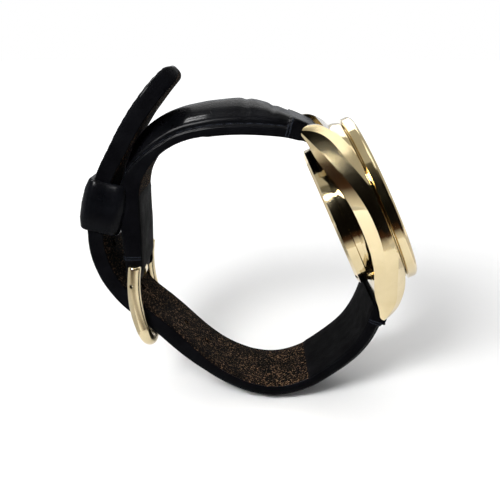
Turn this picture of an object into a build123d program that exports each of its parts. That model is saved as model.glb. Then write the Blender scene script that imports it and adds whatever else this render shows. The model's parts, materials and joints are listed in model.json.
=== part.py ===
"""A dress wristwatch on a buckled leather strap, standing on the strap's lowest curve.

Row frame, in millimetres: the origin is the centre of the caseback's outer face, Z is up, Y runs
across the strap from the 9 o'clock side to the crown, and X runs from the buckle to the head.
The dial faces +X and leans back by HEAD_TILT. The strap's side view is drawn from a point on the
ground under the loop, which is GROUND in the row frame.
The head is drawn on three planes of its own: DIAL, seen from the front with 12 o'clock up;
RADIAL, a half section for what is turned; and FLANK, the side view from 9 o'clock to 3 o'clock.
"""
import os
from math import cos, hypot, pi, radians, sin

from build123d import *

# ---- driving dimensions of the head ----
HEAD_TILT = 24.7  # how far the dial's normal leans up from level, degrees
HEAD_X, HEAD_Z = 18.4, 39.6  # the middle of the lug tips, measured from the point on the ground
BEZEL_R = 17.9
SHOULDER_R = 17.9  # the widest line of the case below the bezel
LUG_SPAN = 42.4  # lug tip to lug tip
LUG_GAP = 18.3  # between the lugs, for an 18 mm strap
LUG_OUTER = 23.6  # over the lugs at their tips
BACK_R = 15.1
BACK_N = -2.6  # heights along the dial's normal, from the line between the lug tips
CASE_BOTTOM_N = -1.6
DIAL_N = 5.3
CASE_TOP_N = 6.9
BEZEL_TOP_N = 9.3
DIAL_R = 15.2
BORE_R = 13.6
WALL_R = 14.4  # the case's wall behind the bands
BAND_INNER_R = 16.3
BAR_U, BAR_N = 18.7, 0.8  # spring bars: distance from the centre and height
FIT = 0.03  # radial clearance of a running fit
STEM_N = 2.7

# ---- driving dimensions of the strap ----
STRAP_WIDE = 18.0
STRAP_NARROW = 16.0
LINING_T = 1.0
BAR_R = 0.75
PIN_R = 0.4
FOLD_R = 2.0
BUCKLE_BAR = (-24.6, 27.0)  # the buckle's spring bar in the strap's side view
ROD_R = 1.35  # of the buckle's bent rod
TANG_WIDE = 1.5

TILT = radians(HEAD_TILT)
NORMAL = Vector(cos(TILT), 0, sin(TILT))
TWELVE = Vector(-sin(TILT), 0, cos(TILT))
CENTRE = NORMAL * -BACK_N  # the middle of the line between the lug tips
GROUND = CENTRE - Vector(HEAD_X, 0, HEAD_Z)
DIAL = Plane(origin=CENTRE, x_dir=(0, 1, 0), z_dir=NORMAL)
RADIAL = Plane(origin=CENTRE, x_dir=(0, 1, 0), z_dir=-TWELVE)
FLANK = Plane(origin=CENTRE, x_dir=TWELVE, z_dir=(0, 1, 0))
DIAL_AXIS = Axis(CENTRE, NORMAL)
SIDE = Plane(origin=GROUND, x_dir=(1, 0, 0), z_dir=(0, -1, 0))  # the strap's side view
ABOVE = Plane(origin=GROUND)  # the view from above
BEHIND = Plane(origin=GROUND, x_dir=(0, 1, 0), z_dir=(1, 0, 0))  # the view from the buckle

os.makedirs("parts", exist_ok=True)


def save(piece, name):
    """Label a finished piece and write it as a STEP file."""
    piece.part.label = name
    export_step(piece.part, f"parts/{name}.step")


def turned(*profile):
    """Revolve a (radius, height) outline about the dial's axis inside the current part."""
    with BuildSketch(RADIAL) as outline:
        with BuildLine():
            Polyline(*profile, close=True)
        make_face()
    revolve(outline.sketch, axis=DIAL_AXIS)


def disc(radius, low, high, at=(0, 0), hole=0.0, mode=Mode.ADD):
    """A disc or ring parallel to the dial, between two heights."""
    with BuildSketch(DIAL.offset(low)) as outline:
        with Locations(at):
            Circle(radius)
            if hole:
                Circle(hole, mode=Mode.SUBTRACT)
    extrude(outline.sketch, amount=high - low, mode=mode)


def polar(radius, angle):
    """A point on the dial, its angle clockwise from 12 o'clock in degrees."""
    return (radius * sin(radians(angle)), radius * cos(radians(angle)))


def turned_point(across, along, angle):
    """A point drawn upright on the dial, turned clockwise by an angle in degrees."""
    turn = radians(angle)
    return (across * cos(turn) + along * sin(turn), along * cos(turn) - across * sin(turn))


def gear(teeth, radius, low, high, at=(0, 0), hole=0.0):
    """A toothed wheel parallel to the dial whose tips stay just inside its pitch radius."""
    root = radius * (1 - 2.2 / teeth)
    rim = []
    for tooth in range(teeth):
        for part, reach in ((0.0, root), (0.25, radius), (0.5, radius), (0.75, root)):
            turn = 2 * pi * (tooth + part) / teeth
            rim.append((reach * cos(turn), reach * sin(turn)))
    with BuildSketch(DIAL.offset(low)) as outline:
        with Locations(at):
            Polygon(*rim, align=None)
            if hole:
                Circle(hole, mode=Mode.SUBTRACT)
    extrude(outline.sketch, amount=high - low)


# ================= case =================

# the lugs and the arched bands between them, each outline from a lug's tip to the middle
LUG_TIP = LUG_SPAN / 2
LUG_TOP = [(LUG_TIP - 0.2, 0.8), (20.4, 2.3), (19.0, 3.7), (16.8, 5.2), (13.6, 6.3), (10.5, 6.6),
           (7.0, 6.1), (3.5, 5.4), (0, 5.2)]
ARCH = [(LUG_TIP - 1.2, -1.35), (18.6, -1.0), (15.7, -0.7), (8.6, 1.1), (0, 1.9)]
BAND_SIDE = [(LUG_TIP, LUG_OUTER / 2), (16.5, 12.9), (11, 15.6), (5, 17.6), (0, 18.1)]  # and half the width
# the bevel along the bands' lower lip: place, its outer edge's height, and how far in it reaches
LIP_BEVEL = [(24, -3.3, 0.5), (21, -1.3, 0.5), (16.5, 0.5, 0.9), (11, 2.6, 1.35), (5, 4.0, 1.6),
             (0, 4.35, 1.7)]
# the facet along each lug's top: place, its outer edge's height, and how far up and in it reaches
LUG_FACET = [(23, -3.4, 2.4, 1.8), (20.2, 0.3, 2.4, 1.8), (18.4, 2.2, 2.4, 2.0), (15.4, 3.7, 2.6, 2.2),
             (12, 4.8, 2.6, 2.5), (9, 5.9, 2.4, 2.7), (6, 7.0, 2.0, 2.8)]
SLOT_REACH = 51  # half the angle that each open slot behind the bands takes up
LEDGE_R = 15.0  # the narrow ledge along the wall inside a slot, and the stops at its ends
LEDGE_N = 0.9
LEDGE_T = 0.45
STOP_TURN = 5  # how much of a slot's angle each stop takes up


def mirrored(half):
    """Add the mirror image of half an outline that ends on the middle line."""
    return half + [(-x, y) for x, y in reversed(half[:-1])]


def height_at(place, outline):
    """The height of an outline, given as points from a lug's tip to the middle, at a place."""
    far, near = next((a, b) for a, b in zip(outline, outline[1:]) if place >= b[0])
    return near[1] + (far[1] - near[1]) * (place - near[0]) / (far[0] - near[0])


def arc_piece(inner_r, outer_r, low, high, middle, reach, mode=Mode.ADD):
    """A stretch of a ring parallel to the dial, reaching a number of degrees either way."""
    with BuildSketch(DIAL.offset(low)) as outline:
        with BuildLine():
            inner = CenterArc((0, 0), inner_r, middle - reach, 2 * reach)
            outer = CenterArc((0, 0), outer_r, middle - reach, 2 * reach)
            Line(inner @ 0, outer @ 0)
            Line(inner @ 1, outer @ 1)
        make_face()
    extrude(outline.sketch, amount=high - low, mode=mode)


def pare(sections):
    """Pare a facet off the band on both sides, with a wedge lofted through its sections.

    A section is a place along the lugs, then the facet's outer and inner edge there, each as
    (half width, height). What lies outside the facet goes.
    """
    with BuildPart() as wedge:
        for place, (wide, high), (narrow, far_high) in sections:
            run, rise = (narrow - wide) * 0.5, (far_high - high) * 0.5
            first, last = (wide - run, high - rise), (narrow + run, far_high + rise)
            with BuildSketch(Plane(origin=CENTRE + TWELVE * place, x_dir=(0, 1, 0), z_dir=-TWELVE)):
                Polygon(first, last, (first[0], last[1]), align=None)
        loft()
    add([wedge.part, wedge.part.mirror(Plane.XZ)], mode=Mode.SUBTRACT)


with BuildPart() as case_middle:
    # the plan outline of the lugs and bands, cut to their side view
    with BuildSketch(DIAL.offset(-2)):
        with BuildLine():
            right = Spline(*[(wide, place) for place, wide in BAND_SIDE],
                           *[(wide, -place) for place, wide in reversed(BAND_SIDE[:-1])])
            Line((0, LUG_TIP), right @ 0)
            Line(right @ 1, (0, -LUG_TIP))
            mirror(about=Plane.YZ)
        make_face()
        Circle(WALL_R - 0.1, mode=Mode.SUBTRACT)
    extrude(amount=10)
    with BuildSketch(FLANK.offset(-25)):
        with BuildLine():
            top = Spline(*mirrored(LUG_TOP))
            bottom = Spline(*mirrored(ARCH))
            ThreePointArc(top @ 0, (LUG_TIP, -0.4), bottom @ 0)
            ThreePointArc(top @ 1, (-LUG_TIP, -0.4), bottom @ 1)
        make_face()
    extrude(amount=50, mode=Mode.INTERSECT)
    # the open slots between the bands and the case's wall
    for middle in (0, 180):
        arc_piece(WALL_R - 0.05, BAND_INNER_R, -2, 4.1, middle, SLOT_REACH, mode=Mode.SUBTRACT)
    # the facets that catch the light: one along each lower lip, one on top of each lug
    bevel = []
    for place, high, reach in LIP_BEVEL:
        wide = height_at(min(place, LUG_TIP), BAND_SIDE)
        lip = height_at(min(place, ARCH[0][0]), ARCH) - max(place - ARCH[0][0], 0)
        bevel.append((place, (wide, high), (wide - reach, lip)))
    pare([(-place, *edges) for place, *edges in bevel[:-1]] + bevel[::-1])
    for side in (1, -1):
        facet = []
        for place, high, rise, reach in LUG_FACET:
            wide = height_at(min(place, LUG_TIP), BAND_SIDE)
            facet.append((place * side, (wide, high), (wide - reach, high + rise)))
        pare(facet)
    # the turned body: back flange, wall, rounded shoulder and the seats inside
    with BuildSketch(RADIAL):
        with BuildLine():
            Polyline((BORE_R, CASE_BOTTOM_N), (BACK_R, CASE_BOTTOM_N), (BACK_R, -0.3),
                     (WALL_R, -0.1), (WALL_R, 3.4), (17.0, 4.0))
            shoulder = Spline((17.0, 4.0), (SHOULDER_R, 5.2), (17.6, 6.3), (16.8, CASE_TOP_N),
                              tangents=((1, 0.25), (-1, 0.15)))
            Polyline(shoulder @ 1, (16.3, CASE_TOP_N), (16.3, 5.9), (DIAL_R + 0.1, 5.9),
                     (DIAL_R + 0.1, DIAL_N - 0.4), (BORE_R, DIAL_N - 0.4), (BORE_R, CASE_BOTTOM_N))
        make_face()
    revolve(axis=DIAL_AXIS)
    disc(DIAL_R + 0.1, DIAL_N - 0.4, 9, mode=Mode.SUBTRACT)
    disc(16.3, 5.9, 9, mode=Mode.SUBTRACT)
    # inside each slot, a narrow ledge along the wall with a drilled stop at either end
    for middle in (0, 180):
        arc_piece(WALL_R - 0.1, LEDGE_R, LEDGE_N, LEDGE_N + LEDGE_T, middle, SLOT_REACH)
        for end in (middle + SLOT_REACH - STOP_TURN / 2, middle - SLOT_REACH + STOP_TURN / 2):
            arc_piece(WALL_R - 0.1, LEDGE_R + 0.5, LEDGE_N - 1.3, LEDGE_N + LEDGE_T, end, STOP_TURN / 2)
    # room for the strap's ends, rounded about each spring bar
    for end in (1, -1):
        with BuildSketch(FLANK.offset(-LUG_GAP / 2)):
            with Locations((end * BAR_U, BAR_N)):
                Circle(2.4)
            with Locations((end * (BAR_U + 4), BAR_N - 1.5)):
                Rectangle(8, 7.8)
            with Locations((end * (BAR_U - 0.6), BAR_N - 4.4)):
                Rectangle(3.6, 8)
        extrude(amount=LUG_GAP, mode=Mode.SUBTRACT)
    # blind holes for the spring bars' pins
    with BuildSketch(FLANK.offset(-LUG_GAP / 2 - 1.3)):
        with Locations((BAR_U, BAR_N), (-BAR_U, BAR_N)):
            Circle(PIN_R + FIT)
    extrude(amount=LUG_GAP + 2.6, mode=Mode.SUBTRACT)
    # the crown's boss, the scallop round the crown and the hole for its tube
    with BuildSketch(FLANK.offset(BAND_INNER_R)):
        with Locations((0, STEM_N)):
            Circle(3.15)
    extrude(amount=4, mode=Mode.SUBTRACT)
    with BuildSketch(FLANK.offset(BORE_R + 0.3)):
        with Locations((0, STEM_N)):
            Circle(1.9)
    extrude(amount=BAND_INNER_R - BORE_R - 0.3)
    with BuildSketch(FLANK.offset(BORE_R - 2)):
        with Locations((0, STEM_N)):
            Circle(1.0)
    extrude(amount=6, mode=Mode.SUBTRACT)
save(case_middle, "case_middle")

with BuildPart() as caseback:
    turned((0, BACK_N), (BACK_R - 0.9, BACK_N), (BACK_R, BACK_N + 0.5), (BACK_R, CASE_BOTTOM_N),
           (BORE_R, CASE_BOTTOM_N), (BORE_R, -0.7), (BORE_R - 0.8, -0.7),
           (BORE_R - 0.8, CASE_BOTTOM_N - 0.1), (0, CASE_BOTTOM_N - 0.1))
    with BuildSketch(DIAL.offset(BACK_N)):
        with Locations(polar(BACK_R, 222)):
            Rectangle(2.6, 1.6, rotation=48)
    extrude(amount=0.35, mode=Mode.SUBTRACT)
save(caseback, "caseback")

with BuildPart() as caseback_gasket:
    turned((BORE_R - 1.5, -1.6), (BORE_R - 0.85, -1.6), (BORE_R - 0.85, -1.0), (BORE_R - 1.5, -1.0))
save(caseback_gasket, "caseback_gasket")

with BuildPart() as bezel:
    with BuildSketch(RADIAL):
        with BuildLine():
            Polyline((15.75, BEZEL_TOP_N - 0.1), (15.75, 7.9), (14.9, 7.9), (14.9, CASE_TOP_N + 0.1),
                     (15.4, CASE_TOP_N + 0.1), (15.4, 6.0), (16.25, 6.0), (16.25, CASE_TOP_N + 0.1),
                     (17.4, CASE_TOP_N + 0.1), (BEZEL_R, CASE_TOP_N + 0.3), (BEZEL_R, 8.4))
            crest = Spline((BEZEL_R, 8.4), (17.6, 9.0), (16.9, BEZEL_TOP_N),
                           tangents=((0, 1), (-1, 0)))
            Polyline(crest @ 1, (16.4, BEZEL_TOP_N), (15.75, BEZEL_TOP_N - 0.1))
        make_face()
    revolve(axis=DIAL_AXIS)
save(bezel, "bezel")

with BuildPart() as crystal_gasket:
    disc(15.74, 7.92, 9.05, hole=15.4)
save(crystal_gasket, "crystal_gasket")

with BuildPart() as crystal:
    with BuildSketch(RADIAL):
        with BuildLine():
            Polyline((0, 7.95), (15.38, 7.95), (15.38, 9.1), (15.1, 9.25))
            Spline((15.1, 9.25), (0, 9.6), tangents=((-1, 0.05), (-1, 0)))
            Line((0, 9.6), (0, 7.95))
        make_face()
    revolve(axis=DIAL_AXIS)
save(crystal, "crystal")

with BuildPart() as rehaut_ring:
    turned((DIAL_R - 0.1, DIAL_N + 0.02), (DIAL_R - 0.1, CASE_TOP_N - 0.1), (14.8, CASE_TOP_N),
           (14.8, 7.9), (14.5, 7.9), (14.1, DIAL_N + 0.02))
save(rehaut_ring, "rehaut_ring")

# ================= dial and hands =================

with BuildPart() as dial:
    disc(DIAL_R, DIAL_N - 0.38, DIAL_N, hole=1.2)
save(dial, "dial")

with BuildPart() as hour_markers:
    for hour in range(12):
        long_mark = 3.4 if hour % 3 == 0 else 2.4
        with BuildSketch(DIAL.offset(DIAL_N)):
            with Locations(polar(13.2 - long_mark / 2, 30 * hour)):
                Rectangle(0.7, long_mark, rotation=-30 * hour)
        extrude(amount=0.22)
save(hour_markers, "hour_markers")


HOUR_N, MINUTE_N, SECOND_N = 5.5, 5.95, 6.4  # the undersides of the hands
HAND_T = 0.16
HOUR_ANGLE, MINUTE_ANGLE, SECOND_ANGLE = 304, 48, 214


def hand(reach, tail, wide, boss, bore, low, thick, angle):
    """A leaf-shaped hand with a round boss, pointing at an angle clockwise from 12 o'clock."""
    right_side = [(0.12, reach), (wide / 2, reach * 0.42), (wide * 0.22, -tail)]
    leaf = right_side + [(-across, along) for across, along in reversed(right_side)]
    with BuildSketch(DIAL.offset(low)) as outline:
        Polygon(*[turned_point(across, along, angle) for across, along in leaf], align=None)
        Circle(boss)
        Circle(bore, mode=Mode.SUBTRACT)
    extrude(outline.sketch, amount=thick)


with BuildPart() as hour_hand:
    hand(8.0, 0.5, 1.5, 1.35, 1.05, HOUR_N, HAND_T, HOUR_ANGLE)
save(hour_hand, "hour_hand")

with BuildPart() as minute_hand:
    hand(12.2, 0.5, 1.15, 0.95, 0.65, MINUTE_N, HAND_T, MINUTE_ANGLE)
save(minute_hand, "minute_hand")

with BuildPart() as second_hand:
    hand(12.8, 3.4, 0.34, 0.5, 0.15, SECOND_N, 0.1, SECOND_ANGLE)
save(second_hand, "second_hand")

# ================= movement =================

PLATE_R = 11.6
PLATE_LOW, PLATE_HIGH = 2.9, 4.2
BRIDGE_LOW, BRIDGE_HIGH = 0.9, 1.3
THIRD_AT = polar(2.45, 290)
STEP_AT = polar(2.4, 30)
ROTOR_AT = (STEP_AT[0] + 2.45 * sin(radians(60)), STEP_AT[1] + 2.45 * cos(radians(60)))
MOTION_AT = (0, -2.8)
BATTERY_AT = (-2.0, -6.9)
BATTERY_R = 3.4
COIL_U = 8.6
POSTS = (polar(7.6, 300), polar(7.2, 78))  # the bridge's two posts and screws
PIVOTS = (1.32, 2.88)  # the ends of an arbor between the bridge and the plate
ARBOR_R = 0.15

with BuildPart() as mainplate:
    disc(PLATE_R, PLATE_LOW, PLATE_HIGH)
    disc(1.2, PLATE_LOW, PLATE_HIGH, mode=Mode.SUBTRACT)
    disc(BATTERY_R + 0.15, PLATE_LOW, PLATE_LOW + 0.4, at=BATTERY_AT, mode=Mode.SUBTRACT)
    with BuildSketch(DIAL.offset(PLATE_LOW)):
        with Locations((9.5, 0)):
            Rectangle(6.6, 2.5)
    extrude(amount=0.95, mode=Mode.SUBTRACT)
    for at in POSTS:
        disc(0.35, BRIDGE_HIGH, PLATE_LOW, at=at)
    disc(0.3, PLATE_HIGH, PLATE_HIGH + 0.5, at=MOTION_AT)
save(mainplate, "mainplate")

with BuildPart() as train_bridge:
    with BuildSketch(DIAL.offset(BRIDGE_LOW)):
        Circle(PLATE_R - 0.5)
        with Locations((0, -13.4)):
            Rectangle(30, 20, mode=Mode.SUBTRACT)
        with Locations((0, COIL_U + 5)):
            Rectangle(30, 11, mode=Mode.SUBTRACT)
        with Locations((10.6, 0)):
            Rectangle(7.6, 3.4, mode=Mode.SUBTRACT)
    extrude(amount=BRIDGE_HIGH - BRIDGE_LOW)
    for at in POSTS:
        disc(0.65, BRIDGE_LOW - 0.02, BRIDGE_LOW + 0.2, at=at, mode=Mode.SUBTRACT)
save(train_bridge, "train_bridge")

with BuildPart() as bridge_screws:
    for at in POSTS:
        disc(0.6, BRIDGE_LOW - 0.1, BRIDGE_LOW + 0.2, at=at)
save(bridge_screws, "bridge_screws")

with BuildPart() as movement_holder:
    disc(BORE_R - 0.1, -0.6, DIAL_N - 0.42, hole=PLATE_R + 0.05)
    with BuildSketch(FLANK.offset(PLATE_R - 2)):
        with Locations((0, STEM_N)):
            Circle(0.85)
    extrude(amount=5, mode=Mode.SUBTRACT)
save(movement_holder, "movement_holder")

with BuildPart() as battery:
    disc(BATTERY_R, 1.1, 3.2, at=BATTERY_AT)
    disc(BATTERY_R - 0.5, 0.85, 1.1, at=BATTERY_AT)
save(battery, "battery")

with BuildPart() as battery_clip:
    with BuildSketch(DIAL.offset(0.6)):
        with Locations(BATTERY_AT):
            Rectangle(7.6, 1.5)
            Rectangle(1.5, 5.2)
    extrude(amount=0.2)
    for side in (-1, 1):
        with BuildSketch(DIAL.offset(0.8)):
            with Locations((BATTERY_AT[0] + side * 3.7, BATTERY_AT[1])):
                Rectangle(0.2, 1.5)
        extrude(amount=2.08)
save(battery_clip, "battery_clip")

with BuildPart() as circuit_board:
    with BuildSketch(DIAL.offset(1.9)):
        Circle(PLATE_R - 0.4)
        Circle(7.6, mode=Mode.SUBTRACT)
        with Locations((6, 0)):
            Rectangle(26.5, 30, mode=Mode.SUBTRACT)
    extrude(amount=0.2)
    with BuildSketch(DIAL.offset(2.1)):
        with Locations((-9.4, 1.6)):
            Rectangle(1.6, 1.8)
    extrude(amount=0.5)
save(circuit_board, "circuit_board")

with BuildPart() as coil:
    with BuildSketch(FLANK.offset(-3.6)):
        with Locations((COIL_U, 2.0)):
            Circle(0.85)
    extrude(amount=7.2)
    for start in (-4.0, 3.6):
        with BuildSketch(FLANK.offset(start)):
            with Locations((COIL_U, 2.0)):
                Circle(0.88)
        extrude(amount=0.4)
save(coil, "coil")

with BuildPart() as stator:
    with BuildSketch(DIAL.offset(2.0)):
        with Locations((ROTOR_AT[0], ROTOR_AT[1] + 1.4)):
            Rectangle(3.6, 5.6)
        with Locations(ROTOR_AT):
            Circle(1.25, mode=Mode.SUBTRACT)
        with Locations((0, COIL_U)):
            Rectangle(9.6, 2.4, mode=Mode.SUBTRACT)
    extrude(amount=0.35)
save(stator, "stator")

with BuildPart() as rotor:
    disc(ARBOR_R + 0.03, *PIVOTS, at=ROTOR_AT)
    disc(1.05, 1.95, 2.4, at=ROTOR_AT)
    gear(8, 0.33, 1.42, 1.75, at=ROTOR_AT)
save(rotor, "rotor")

with BuildPart() as step_wheel:
    gear(48, 2.08, 1.5, 1.65, at=STEP_AT)
    disc(ARBOR_R, *PIVOTS, at=STEP_AT)
    gear(8, 0.38, 1.65, 2.0, at=STEP_AT)
save(step_wheel, "step_wheel")

with BuildPart() as second_wheel:
    gear(40, 1.98, 1.8, 1.95)
    disc(ARBOR_R, PIVOTS[0], SECOND_N + 0.15)
    gear(8, 0.28, 1.95, 2.3)
save(second_wheel, "second_wheel")

with BuildPart() as third_wheel:
    gear(60, 2.14, 2.05, 2.2, at=THIRD_AT)
    disc(ARBOR_R, *PIVOTS, at=THIRD_AT)
    gear(8, 0.26, 2.2, 2.7, at=THIRD_AT)
save(third_wheel, "third_wheel")

with BuildPart() as centre_wheel:
    gear(64, 2.16, 2.45, 2.6, hole=ARBOR_R + FIT)
    disc(0.4, 2.6, 5.9, hole=ARBOR_R + FIT)
save(centre_wheel, "centre_wheel")

with BuildPart() as cannon_pinion:
    gear(10, 0.68, 4.24, 4.44, hole=0.4 + FIT)
    disc(0.65, 4.44, MINUTE_N + HAND_T, hole=0.4 + FIT)
save(cannon_pinion, "cannon_pinion")

with BuildPart() as minute_wheel:
    gear(30, 2.08, 4.24, 4.4, at=MOTION_AT, hole=0.3 + FIT)
    gear(8, 0.54, 4.4, 4.68, at=MOTION_AT, hole=0.3 + FIT)
save(minute_wheel, "minute_wheel")

with BuildPart() as hour_wheel:
    gear(32, 2.22, 4.5, 4.66, hole=0.65 + FIT)
    disc(1.05, 4.66, HOUR_N + HAND_T, hole=0.65 + FIT)
save(hour_wheel, "hour_wheel")

# ================= crown and stem =================

STEM_R = 0.55
TUBE_OUT = 16.9
CROWN_IN, CROWN_OUT = 17.2, 19.7  # the fluted part's ends, pushed in
CROWN_R = 2.75
FLUTES = 24


def along_stem(radius, start, end, hole=0.0, mode=Mode.ADD):
    """A round length of the winding stem's line, between two distances from the centre."""
    with BuildSketch(FLANK.offset(start)) as outline:
        with Locations((0, STEM_N)):
            Circle(radius)
            if hole:
                Circle(hole, mode=Mode.SUBTRACT)
    extrude(outline.sketch, amount=end - start, mode=mode)


with BuildPart() as crown_tube:
    along_stem(1.0, 13.9, TUBE_OUT, hole=STEM_R + 0.05)
save(crown_tube, "crown_tube")

with BuildPart() as stem:
    along_stem(STEM_R, 9.9, 18.0)
    with BuildSketch(FLANK.offset(6.6)):
        with Locations((0, STEM_N)):
            Rectangle(0.7, 0.7)
    extrude(amount=3.3)
    along_stem(STEM_R + 0.1, 10.45, 10.85, hole=0.35, mode=Mode.SUBTRACT)
save(stem, "stem")

with BuildPart() as sliding_pinion:
    along_stem(0.95, 6.9, 8.5)
    with BuildSketch(FLANK.offset(6.9)):
        with Locations((0, STEM_N)):
            Rectangle(0.76, 0.76)
    extrude(amount=1.6, mode=Mode.SUBTRACT)
save(sliding_pinion, "sliding_pinion")

with BuildPart() as crown:
    outline = []
    for flute in range(FLUTES):
        for part, reach in ((0.0, CROWN_R - 0.25), (0.3, CROWN_R), (0.6, CROWN_R), (0.9, CROWN_R - 0.25)):
            turn = 2 * pi * (flute + part) / FLUTES
            outline.append((reach * cos(turn), reach * sin(turn)))
    with BuildSketch(FLANK.offset(CROWN_IN)):
        with Locations((0, STEM_N)):
            Polygon(*outline, align=None)
    extrude(amount=CROWN_OUT - CROWN_IN)
    along_stem(CROWN_R - 0.45, CROWN_OUT, CROWN_OUT + 0.5)
    along_stem(1.35, CROWN_IN, CROWN_IN + 1.2, mode=Mode.SUBTRACT)
    along_stem(STEM_R, CROWN_IN, CROWN_IN + 1.8, mode=Mode.SUBTRACT)
save(crown, "crown")

# ================= spring bars =================


def spring_bar(centre, reach):
    """The tube of a spring bar across the strap, centred on a point of the side view."""
    with BuildSketch(SIDE.offset(-reach)) as outline:
        with Locations(centre):
            Circle(BAR_R)
            Circle(PIN_R, mode=Mode.SUBTRACT)
    extrude(outline.sketch, amount=2 * reach)


def bar_pins(centre, inside, outside):
    """The two end pins of a spring bar."""
    for side in (1, -1):
        with BuildSketch(SIDE.offset(-side * inside)) as outline:
            with Locations(centre):
                Circle(PIN_R)
        extrude(outline.sketch, amount=-side * (outside - inside))


def head_point(u, n):
    """A point of the head's side view in the strap's side view."""
    at = CENTRE + TWELVE * u + NORMAL * n - GROUND
    return (at.X, at.Z)


BAR_12 = head_point(BAR_U, BAR_N)
BAR_6 = head_point(-BAR_U, BAR_N)
for name, at, reach, outside in (
    ("spring_bar_12", BAR_12, LUG_GAP / 2 - 0.2, LUG_GAP / 2 + 1.2),
    ("spring_bar_6", BAR_6, LUG_GAP / 2 - 0.2, LUG_GAP / 2 + 1.2),
    ("spring_bar_buckle", BUCKLE_BAR, STRAP_NARROW / 2 + 0.1, STRAP_NARROW / 2 + 2.0),
):
    with BuildPart() as tube:
        spring_bar(at, reach)
    save(tube, name)
    with BuildPart() as pins:
        bar_pins(at, reach - 2.0, outside)
    save(pins, name.replace("bar", "bar_pins"))

# ================= strap =================

# the middle of the leather in the side view: X, Z and thickness, from the lug to the far end
ROUTE_12 = [(*BAR_12, 3.3), (7.6, 58.3, 3.7), (3.5, 59.2, 4.4), (-3.3, 59.5, 4.6), (-10, 58.8, 4.4),
            (-16.3, 56.9, 4.3), (-21.0, 53.3, 4.2), (-24.0, 48.4, 4.1), (-24.9, 43, 4.1),
            (-24.7, 37, 3.8), (-24.6, 32, 3.4), (*BUCKLE_BAR, 3.2)]
ROUTE_6 = [(*BAR_6, 3.4), (25.1, 17.0, 3.5), (21.9, 11.5, 3.6), (17.4, 7.4, 3.5), (12.1, 3.8, 3.4),
           (5.4, 1.75, 3.4), (-2.3, 3.0, 3.4), (-7.7, 5.8, 3.4), (-12.9, 10.1, 3.3),
           (-17.9, 15.2, 3.2), (-22.4, 19.2, 3.1), (-26.9, 23.6, 3.2), (-30.0, 28.3, 3.2),
           (-31.6, 33.4, 3.2), (-31.8, 38, 3.2), (-31.1, 43.2, 3.2), (-29.4, 48.6, 3.3),
           (-27.0, 53.0, 3.4), (-24.6, 57.2, 3.5), (-21.5, 61.8, 3.5), (-18.7, 65.3, 3.4),
           (-15.9, 68.1, 2.6)]


def layer(route, way, outer_side, inner_side):
    """One layer of leather in the side view, between two offsets given as functions of thickness.

    Positive offsets lie on the outside of the loop. The way is 1 for a route that runs
    anticlockwise round the loop and -1 for one that runs clockwise.
    """
    edges = ([], [])
    for index, (x, z, thick) in enumerate(route):
        before, after = route[max(index - 1, 0)], route[min(index + 1, len(route) - 1)]
        dx, dz = after[0] - before[0], after[1] - before[1]
        along = hypot(dx, dz)
        for edge, reach in zip(edges, (outer_side(thick), inner_side(thick))):
            edge.append((x + way * reach * dz / along, z - way * reach * dx / along))
    with BuildLine() as border:
        far = Spline(*edges[0])
        near = Spline(*edges[1])
        Line(far @ 0, near @ 0)
        Line(far @ 1, near @ 1)
    make_face(border.edges())


# the strap's half width from above, at places along X
TAPER = [(30, STRAP_WIDE / 2), (4, STRAP_WIDE / 2), (-18, STRAP_NARROW / 2), (-40, STRAP_NARROW / 2)]


def trim_width():
    """Cut the current strap piece to its tapering width, seen from above."""
    with BuildSketch(ABOVE.offset(-5)) as outline:
        Polygon(*TAPER, *[(x, -y) for x, y in reversed(TAPER)], align=None)
    extrude(outline.sketch, amount=90, mode=Mode.INTERSECT)


def tunnel(at):
    """Clear the hole that a spring bar runs through."""
    with BuildSketch(SIDE.offset(-12)) as outline:
        with Locations(at):
            Circle(BAR_R + 0.05)
    extrude(outline.sketch, amount=24, mode=Mode.SUBTRACT)


def tang_notch():
    """The notch in the fold that the tang's eye turns in."""
    with BuildSketch(SIDE.offset(-1.7)) as outline:
        with Locations((BUCKLE_BAR[0], BUCKLE_BAR[1] - 0.4)):
            Rectangle(6, 5.2)
    extrude(outline.sketch, amount=3.4, mode=Mode.SUBTRACT)


KEEPER_AT = (-29.9, 42.6)
KEEPER_TILT = -14.0
KEEPER_WIDE = 10.4
KEEPER_OUT, KEEPER_IN = 4.45, 4.6  # from its middle to the outside of the loop and to the wrist
KEEPER_T = 0.95
KEEPER_PLANE = Plane(SIDE.from_local_coords(Vector(*KEEPER_AT)), x_dir=(1, 0, 0)).rotated(
    (0, -KEEPER_TILT, 0))


def keeper_ring(mode=Mode.ADD):
    """The keeper's band, drawn across the strap and drawn out along it."""
    middle = ((KEEPER_IN - KEEPER_OUT) / 2, 0)
    across, height = KEEPER_IN + KEEPER_OUT, STRAP_NARROW + 0.7 + 2 * KEEPER_T
    with BuildSketch(KEEPER_PLANE.offset(-KEEPER_WIDE / 2)) as outline:
        with Locations(middle):
            RectangleRounded(across, height, 1.9)
            RectangleRounded(across - 2 * KEEPER_T, height - 2 * KEEPER_T, 1.0, mode=Mode.SUBTRACT)
    extrude(outline.sketch, amount=KEEPER_WIDE, mode=mode)


with BuildPart() as keeper:
    keeper_ring()
save(keeper, "keeper")

with BuildPart() as strap_12_upper:
    with BuildSketch(SIDE.offset(-STRAP_WIDE / 2)):
        layer(ROUTE_12, 1, lambda t: t / 2, lambda t: LINING_T - t / 2)
        with Locations(BAR_12, BUCKLE_BAR):
            Circle(FOLD_R)
    extrude(amount=STRAP_WIDE)
    trim_width()
    tunnel(BAR_12)
    tunnel(BUCKLE_BAR)
    tang_notch()
    keeper_ring(mode=Mode.SUBTRACT)
save(strap_12_upper, "strap_12_upper")

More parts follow.
